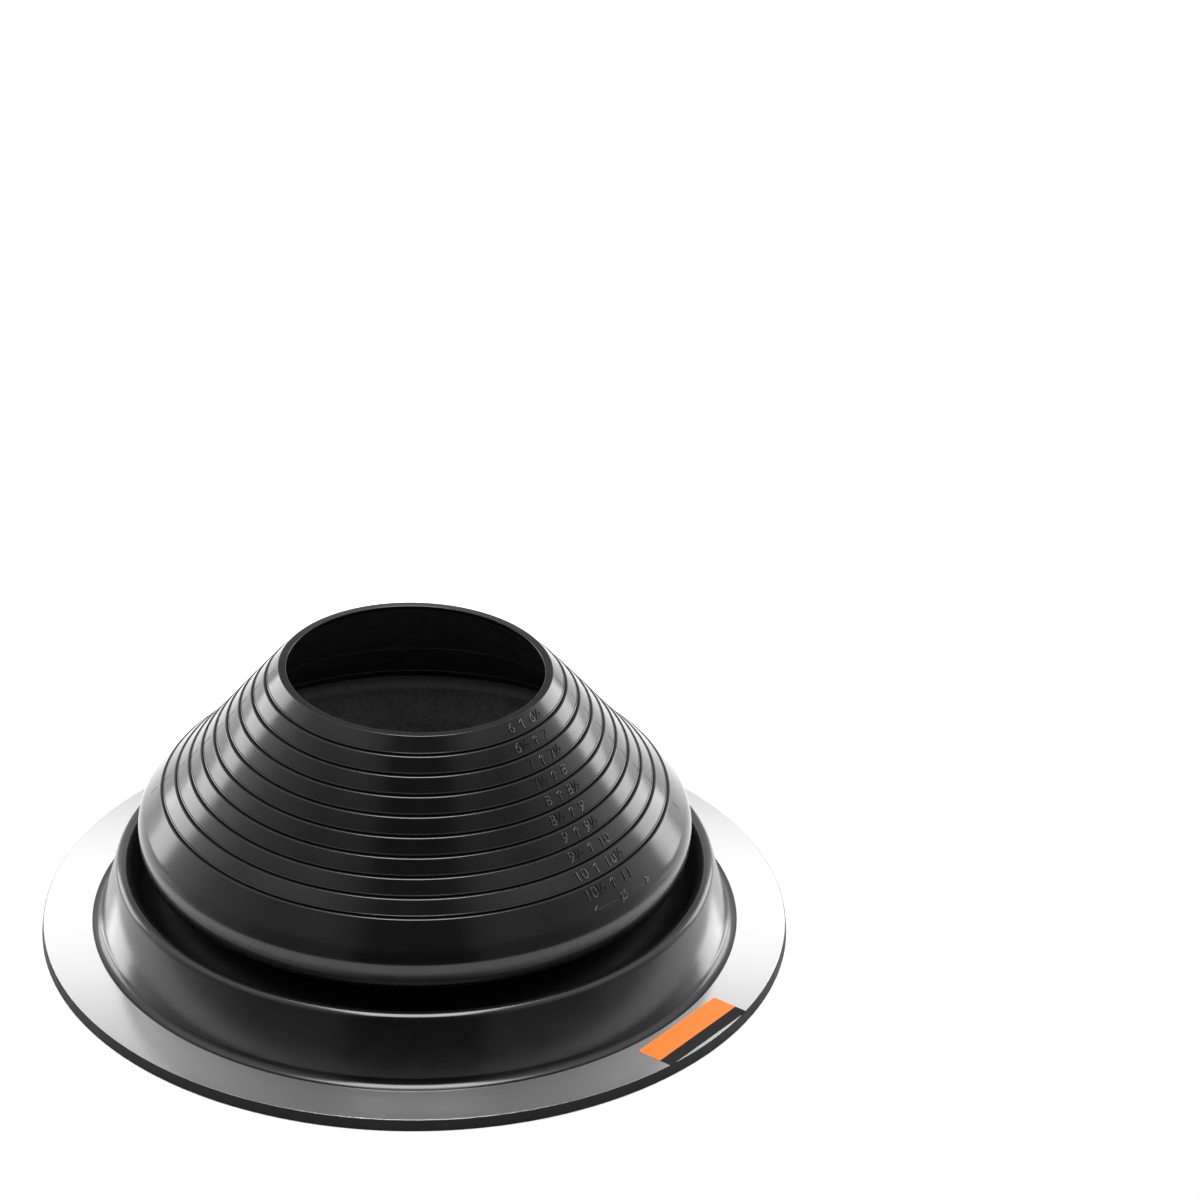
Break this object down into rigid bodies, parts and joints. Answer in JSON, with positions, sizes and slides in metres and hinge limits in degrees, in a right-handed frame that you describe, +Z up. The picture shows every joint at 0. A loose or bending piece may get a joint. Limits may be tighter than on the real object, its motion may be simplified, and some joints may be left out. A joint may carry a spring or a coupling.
{
  "type": "pipe flashing boot",
  "caption": "Stepped rubber cone with a folded foot and a round metal-ringed flange, cut to size and stretched over a round pipe to seal it at a roof or facade.",
  "frame": {"origin": "middle of the underside of the flange, on the axis of the pipe", "axes": "+Z up along the pipe's axis, out of the mouth; the label is 50.4 degrees round from -Y towards +X"},
  "size_m": [0.3672, 0.367, 0.1429],
  "materials": {
    "rubber": "smooth moulded black EPDM, soft gloss",
    "aluminium": "bare mill sheet, satin",
    "label": "printed film, orange with a dark strip along the outer side"
  },
  "bodies": {
    "root": {"rubber_boot": "rubber", "aluminium_ring": "aluminium", "label": "label"}
  },
  "joints": []
}
